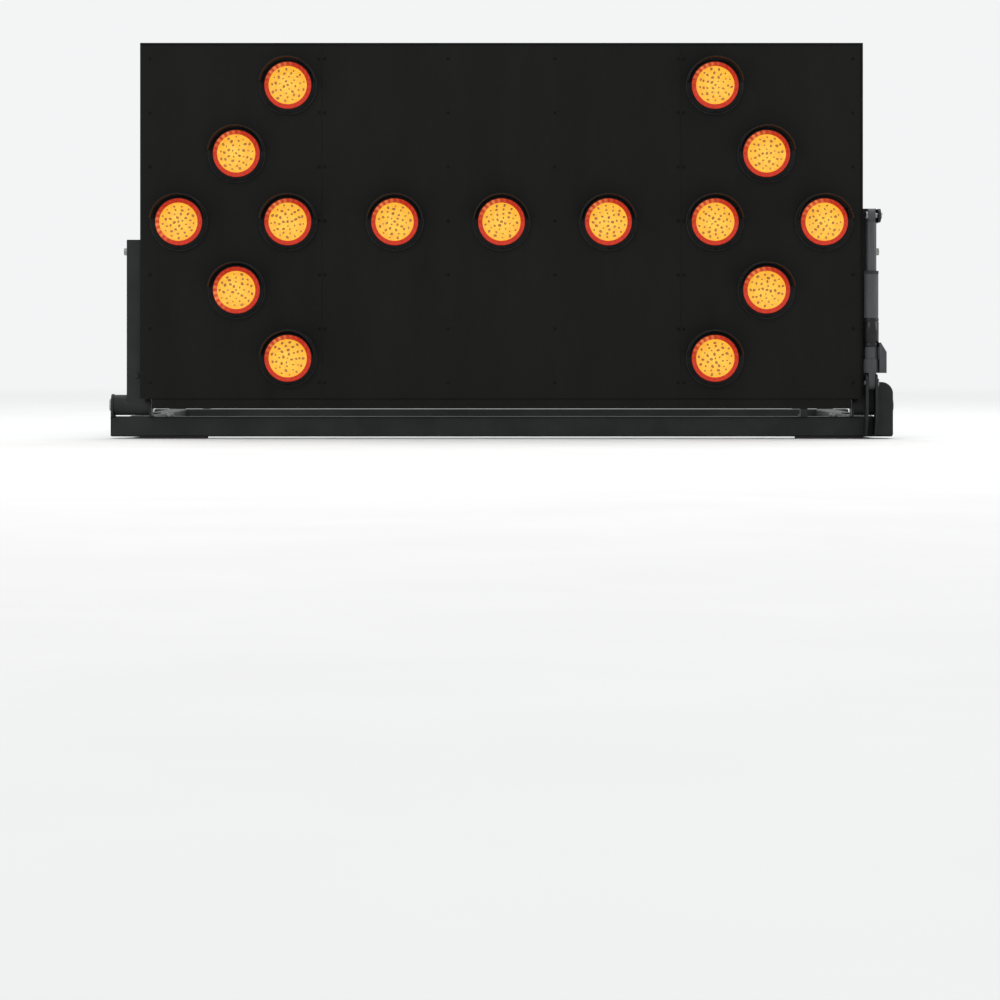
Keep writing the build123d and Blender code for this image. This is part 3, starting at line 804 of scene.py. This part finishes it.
verts, faces = rib_ring()
lens_rings = at_lamps("lens_rings", verts, faces, lit_ring(), lamp_spots)
# painted highlight: a glint value on the rib crests, brightest on the ribs that face one chosen direction
painted_glint = lens_rings.data.attributes.new("painted_glint", "FLOAT", "POINT")
glint_high_angle = math.radians(125)
glint_low_angle = math.radians(195)
tip_reach = 0.6
row_play = 0.01
rib_edge = 0.0003
rim_edge = 0.0008
lamp_middle = sum(z for x, z in lamp_spots) / len(lamp_spots)
for vert in lens_rings.data.vertices:
    x, z = min(lamp_spots, key=lambda spot: math.hypot(vert.co.x - spot[0], vert.co.z - spot[1]))
    radius = math.hypot(vert.co.x - x, vert.co.z - z)
    lifted = lens_y(radius) + 0.3 * rib_depth < vert.co.y < bezel_back
    in_ring = face_radius + rib_edge < radius < lens_radius - rim_edge
    # painted highlight: the ribs that face up and left are painted brightest, or those that face left on the
    # left tip lamp and the one below it
    glint_angle = glint_low_angle if x < -tip_reach and z < lamp_middle + row_play else glint_high_angle
    turn = math.cos(math.atan2(vert.co.z - z, vert.co.x - x) - glint_angle)
    painted_glint.data[vert.index].value = max(0.0, turn) ** 5 if lifted and in_ring else 0.0
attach(lens_rings, "sign")

# A black rubber ring is stretched over each can flange and closes the gap to the hole.
can_boxes = loose_boxes("lamp_cans")
flange_radius = (can_boxes[0][1].x - can_boxes[0][0].x) / 2
ring_thick = 0.0015
ring_gap = 0.0002
ring_lap = 0.001
ring_play = 0.0006
flange_front = lens_back + ring_gap
flange_back = flange_front + ring_thick
ring_flange = flange_radius - ring_lap
ring_lens = lens_radius + ring_play
flange_profile = [(ring_flange, flange_front), (ring_lens, flange_front), (ring_lens, flange_back),
                  (ring_flange, flange_back), (ring_flange, flange_front)]
verts, faces = turned(flange_profile, round_sides)
flange_rings = at_lamps("flange_rings", verts, faces, rubber, lamp_spots)
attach(flange_rings, "sign")

led_radius = 0.0029
led_long = 1.3
led_sides = 8
led_sizes = (0.6, 1.3)
led_circles = ((0.0, 1), (0.23, 4), (0.45, 8), (0.67, 11), (0.87, 13))
led_profile = [(0.0, -0.30), (0.5, -0.26), (0.86, -0.15), (1.0, 0.1), (0.0, 0.1)]
verts, faces = turned([(r * led_radius, y * led_radius) for r, y in led_profile], led_sides)
verts = [(x * led_long, y, z) for x, y, z in verts]
led_head = outward(mesh_piece("led_head", verts, faces=faces))
led_spots = []
for index, (x, z) in enumerate(lamp_spots):
    for share, count in led_circles:
        for k in range(count):
            angle = math.tau * k / count + 0.35 * index + share
            radius = face_radius * share * (0.96 + 0.04 * math.sin(5 * k + index))
            led_spots.append((x + radius * math.cos(angle), lens_y(radius), z + radius * math.sin(angle)))
scatter("led_spots", led_head, led_spots, led_sizes, led_brown(), "sign")
bpy.data.objects.remove(led_head)


def green_board():
    material, surface = shader("green_board")
    tracks = add_node(material, "ShaderNodeTexBrick", scale=160.0)
    tracks.inputs["Color1"].default_value = (0.010, 0.085, 0.035, 1)
    tracks.inputs["Color2"].default_value = (0.014, 0.110, 0.045, 1)
    tracks.inputs["Mortar"].default_value = (0.030, 0.190, 0.075, 1)
    mapping = add_node(material, "ShaderNodeMapping")
    mapping.inputs["Rotation"].default_value = (math.radians(90), 0, 0)
    coordinates = add_node(material, "ShaderNodeTexCoord")
    wire(material, coordinates.outputs["Object"], mapping.inputs["Vector"])
    wire(material, mapping.outputs["Vector"], tracks.inputs["Vector"])
    wire(material, tracks.outputs["Color"], surface.inputs["Base Color"])
    wire(material, spread(material, noise_of(material, 90.0), 0.22, 0.40), surface.inputs["Roughness"])
    return material


solder_mask = green_board()
paint("lamp_boards", solder_mask)
paint("driver_board", solder_mask)

# ---- lamp hoods -----------------------------------------------------------------
# A thin visor of spun aluminium, coated flat black inside and out, shades the upper half of
# every lamp. Fine pale scratches run over it where hands and straps rub it.


def visor_black():
    material, surface = shader("visor_black")
    tone = blend_colours(material, noise_of(material, 18.0, 5.0), (0.0030, 0.0030, 0.0029),
                         (0.0065, 0.0063, 0.0060))
    scratch = mask_of(material, noise_of(material, 110.0, 4.0, (1, 0.1, 1)), 0.70, 0.74)
    wire(material, over(material, scratch, tone, (0.022, 0.022, 0.0215)), surface.inputs["Base Color"])
    wire(material, spread(material, noise_of(material, 35.0), 0.5, 0.7), surface.inputs["Roughness"])
    surface.inputs["Specular IOR Level"].default_value = 0.2
    relief(material, surface, noise_of(material, 1200.0, 2.0), 0.2, 0.0003)
    return material


paint("lamp_hoods", visor_black())

# ---- bolts, pins and washers ----------------------------------------------------
# Zinc-plated hexagon bolts with washers clamp the pads and the cross tube. Their heads are
# chamfered all round, and the ends of the shanks and pins are left plain.


head_high = 0.007
head_radius = 0.0104
head_foot = 0.9 * head_radius
head_chamfer = 0.0012
head_top = 0.86 * head_radius
head_step = 0.0004
corner_cut = 1.02
washer_thick = 0.002
washer_radius = 0.012
bolt_sides = 36
hex_side = math.radians(60)


def hex_bolt(low, high, along, shank_radius):
    """A bolt along an axis: shank from low, washer and chamfered head up to high."""
    start = low[along]
    end = high[along]
    head_low = end - head_high
    washer_low = head_low - washer_thick
    rings = [(0.0, start), (shank_radius, start), (shank_radius, washer_low), (washer_radius, washer_low),
             (washer_radius, head_low), (head_foot, head_low)]
    verts, faces = turned(rings, bolt_sides)
    base = len(verts)
    shape = [(head_foot, head_low), (head_radius, head_low + head_step), (head_radius, end - head_chamfer),
             (head_top, end), (0.0, end)]
    for radius, y in shape:
        for k in range(bolt_sides):
            angle = math.tau * k / bolt_sides
            flat = math.cos(hex_side / 2) / math.cos((angle % hex_side) - hex_side / 2)
            reach = radius * (flat if radius >= head_radius else min(1.0, flat * corner_cut))
            verts.append((reach * math.cos(angle), y, reach * math.sin(angle)))
    for row in range(len(shape) - 1):
        for k in range(bolt_sides):
            a = base + row * bolt_sides + k
            b = base + row * bolt_sides + (k + 1) % bolt_sides
            faces.append((a, b, b + bolt_sides, a + bolt_sides))
    return verts, faces


def turn_to(verts, along, centre):
    """Vertices made along Y carried to another axis and set on their centre."""
    if along == 0:
        return [(y, centre.y + x, centre.z + z) for x, y, z in verts]
    if along == 2:
        return [(centre.x + x, centre.y + z, y) for x, y, z in verts]
    return [(centre.x + x, y, centre.z + z) for x, y, z in verts]


def bolt_group(name, boxes, along, shank_radius, body, node):
    """One bolt in each box, heads up or outwards, as one mesh in place of a node."""
    all_verts = []
    all_faces = []
    for low, high in boxes:
        centre = (low + high) / 2
        mirrored = along == 0 and centre.x < 0
        if mirrored:
            verts, faces = hex_bolt(-high, -low, along, shank_radius)
            verts = [(x, -y, z) for x, y, z in verts]
        else:
            verts, faces = hex_bolt(low, high, along, shank_radius)
        start = len(all_verts)
        all_verts.extend(turn_to(verts, along, centre))
        all_faces.extend(tuple(start + k for k in face) for face in faces)
    piece = outward(mesh_piece(name, all_verts, faces=all_faces, material=zinc))
    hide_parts(node)
    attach(piece, body)


pad_shank = 0.006
cross_shank = 0.004
longest_cross = 0.0095
upright_bolts = loose_boxes("upright_bolts")
side_bolts = [pair for pair in upright_bolts if pair[1].x - pair[0].x < longest_cross]
bolt_group("pad_bolt_set", loose_boxes("pad_bolts"), 2, pad_shank, "base", "pad_bolts")
bolt_group("cross_bolt_set", side_bolts, 0, cross_shank, "sign", "upright_bolts")

plug_radius = 0.0070
plug_round = 0.0018
plug_taper = 0.0004
plug_rim = 0.0012
plug_sides = 24
plug_low, plug_high = [pair for pair in upright_bolts if pair[1].x - pair[0].x > longest_cross][0]
plug_rows = [(0.0, plug_low.y), (plug_radius - plug_round, plug_low.y),
             (plug_radius - plug_taper, plug_low.y + plug_round / 2),
             (plug_radius - plug_taper / 2, plug_high.y - plug_rim), (plug_radius, plug_high.y),
             (0.0, plug_high.y)]
verts, faces = turned(plug_rows, plug_sides)
verts = turn_to(verts, 1, (plug_low + plug_high) / 2)
small_bolt = outward(mesh_piece("upright_plug_bolt", verts, faces=faces, material=coat))
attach(small_bolt, "sign")
for node in ("hinge_pins", "foot_pin", "rod_pin", "lid_pin", "lead_screw", "lug_boss", "box_knuckles"):
    paint(node, zinc)

# ---- hinge bushes and drive nut -------------------------------------------------
# Oil-filled sintered bronze lines the barrels, and the nut on the actuator's screw is bronze
# too. Both are dull and mottled where the oil has crept out.


def oiled_bronze():
    material, surface = shader("oiled_bronze")
    tone = blend_colours(material, noise_of(material, 140.0, 6.0), (0.20, 0.11, 0.035), (0.40, 0.25, 0.09))
    wire(material, tone, surface.inputs["Base Color"])
    surface.inputs["Metallic"].default_value = 0.9
    wire(material, spread(material, noise_of(material, 60.0), 0.35, 0.6), surface.inputs["Roughness"])
    relief(material, surface, noise_of(material, 2200.0, 2.0), 0.2, 0.0002)
    return material


bronze = oiled_bronze()
paint("hinge_bushes", bronze)
paint("drive_nut", bronze)

# ---- screw actuator -------------------------------------------------------------
# A cast gear housing carries a black motor sleeve and the painted steel tubes. The inner tube
# slides through a wiper seal at the top and ends in a forged eye beside the upright's lug.


def actuator_paint(name, low, high, rough, shine):
    material, surface = shader(name)
    tone = blend_colours(material, noise_of(material, 16.0, 5.0, (1, 1, 0.4)), low, high)
    grime = mask_of(material, noise_of(material, 75.0, 7.0, (1, 1, 0.5), 0.7), 0.60, 0.72)
    wire(material, over(material, grime, tone, tuple(0.6 * c for c in high)), surface.inputs["Base Color"])
    wire(material, spread(material, noise_of(material, 50.0), *rough), surface.inputs["Roughness"])
    surface.inputs["Specular IOR Level"].default_value = shine
    relief(material, surface, noise_of(material, 420.0, 3.0), 0.25, 0.0003)
    return material


grey_paint = actuator_paint("actuator_grey", (0.036, 0.037, 0.040), (0.056, 0.058, 0.062), (0.38, 0.58), 0.4)
gloss_black = actuator_paint("actuator_black", (0.0028, 0.0028, 0.0030), (0.0060, 0.0060, 0.0064),
                             (0.20, 0.34), 0.3)
for node in ("gear_housing", "actuator_collar", "outer_tube", "rod_eye", "gear_cover"):
    paint(node, grey_paint)


def dark_rod():
    material, surface = shader("dark_rod")
    lines = noise_of(material, 300.0, 3.0, (1, 1, 0.02))
    tone = blend_colours(material, lines, (0.040, 0.041, 0.044), (0.075, 0.077, 0.082))
    wire(material, tone, surface.inputs["Base Color"])
    surface.inputs["Metallic"].default_value = 0.35
    wire(material, spread(material, lines, 0.30, 0.48), surface.inputs["Roughness"])
    return material


paint("inner_rod", dark_rod())

sleeve_low, sleeve_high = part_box("motor_sleeve")
sleeve_axis = (sleeve_low + sleeve_high) / 2
sleeve_radius = (sleeve_high.x - sleeve_low.x) / 2
sleeve_round = 0.0015
sleeve_bore = sleeve_radius - 0.0025
sleeve_floor = sleeve_low.z + 0.004
sleeve_sides = 72
groove = 0.0009
groove_bottom = sleeve_radius - groove
sleeve_rows = [(0.0, sleeve_low.z), (sleeve_radius - sleeve_round, sleeve_low.z),
               (sleeve_radius, sleeve_low.z + sleeve_round)]
for share in (0.10, 0.86):
    z = sleeve_low.z + share * (sleeve_high.z - sleeve_low.z)
    sleeve_rows += [(sleeve_radius, z), (groove_bottom, z + groove), (groove_bottom, z + 2 * groove),
                    (sleeve_radius, z + 3 * groove)]
sleeve_rows += [(sleeve_radius, sleeve_high.z - sleeve_round), (sleeve_radius - sleeve_round, sleeve_high.z),
                (sleeve_bore, sleeve_high.z), (sleeve_bore, sleeve_floor), (0.0, sleeve_floor)]
verts, faces = turned(sleeve_rows, sleeve_sides)
verts = turn_to(verts, 2, sleeve_axis)
sleeve = outward(mesh_piece("sleeve_shell", verts, faces=faces, material=gloss_black))
smooth_faces(sleeve)
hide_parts("motor_sleeve")
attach(sleeve, "actuator")

# ---- wiring conduit -------------------------------------------------------------
# The lamp wires run behind the panel in black split conduit, whose corrugations are pressed
# every few millimetres. A moulded splice turns a short drop up to the control box.
harness_low, harness_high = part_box("harness")
clip_low, clip_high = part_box("harness_clips")
feed_low, feed_high = loose_boxes("cable_glands")[0]
conduit_radius = 0.006
conduit_gap = 0.0005
conduit_sides = 14
pressed_share = 0.86
pressed_radius = conduit_radius * pressed_share
rib_pitch = 0.0036
splice_half = 0.009
splice_round = 0.0012
conduit_y = harness_low.y + conduit_gap + conduit_radius
conduit_z = (clip_low.z + clip_high.z) / 2
drop = (feed_low + feed_high) / 2


def corrugated(start, end):
    """A capped length of conduit about the Y axis, with a pressed hollow in every pitch."""
    rows = [(0.0, start)]
    for k in range(int((end - start) / rib_pitch)):
        y = start + k * rib_pitch
        rows += [(conduit_radius, y), (conduit_radius, y + 0.45 * rib_pitch)]
        rows += [(pressed_radius, y + 0.55 * rib_pitch), (pressed_radius, y + 0.92 * rib_pitch)]
    rows += [(pressed_radius, end), (0.0, end)]
    return turned(rows, conduit_sides)


run_verts, run_faces = corrugated(harness_low.x, harness_high.x)
run_verts = turn_to(run_verts, 0, Vector((0, conduit_y, conduit_z)))
drop_verts, drop_faces = corrugated(conduit_z + splice_half, harness_high.z)
run_faces += [tuple(len(run_verts) + k for k in face) for face in drop_faces]
run_verts += turn_to(drop_verts, 2, drop)
conduit = outward(mesh_piece("conduit", run_verts, faces=run_faces, material=black_plastic))
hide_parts("harness")
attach(conduit, "sign")
strip("splice", (drop.x - splice_half, harness_low.y, conduit_z - splice_half),
      (drop.x + splice_half, harness_high.y, conduit_z + splice_half), black_plastic, "sign",
      splice_round)

# ---- control box and lid --------------------------------------------------------
# A folded steel box with a gasketed lid, powder coated mid grey, holds the driver board. Its
# lid hangs from a pinned hinge along the top and is held by two quarter-turn latches.


def box_coat():
    material, surface = shader("box_coat")
    tone = blend_colours(material, noise_of(material, 7.0, 5.0), (0.20, 0.205, 0.215), (0.27, 0.275, 0.285))
    dirt = mask_of(material, noise_of(material, 12.0, 8.0, (1.5, 1, 0.4), 0.7), 0.55, 0.75)
    wire(material, over(material, dirt, tone, (0.105, 0.095, 0.08)), surface.inputs["Base Color"])
    wire(material, spread(material, noise_of(material, 30.0), 0.40, 0.62), surface.inputs["Roughness"])
    relief(material, surface, noise_of(material, 800.0, 2.0), 0.3, 0.0004)
    return material


box_grey = box_coat()
paint("control_box", box_grey)
paint("box_lid", box_grey)
paint("latch_left", black_plastic)
paint("latch_right", black_plastic)
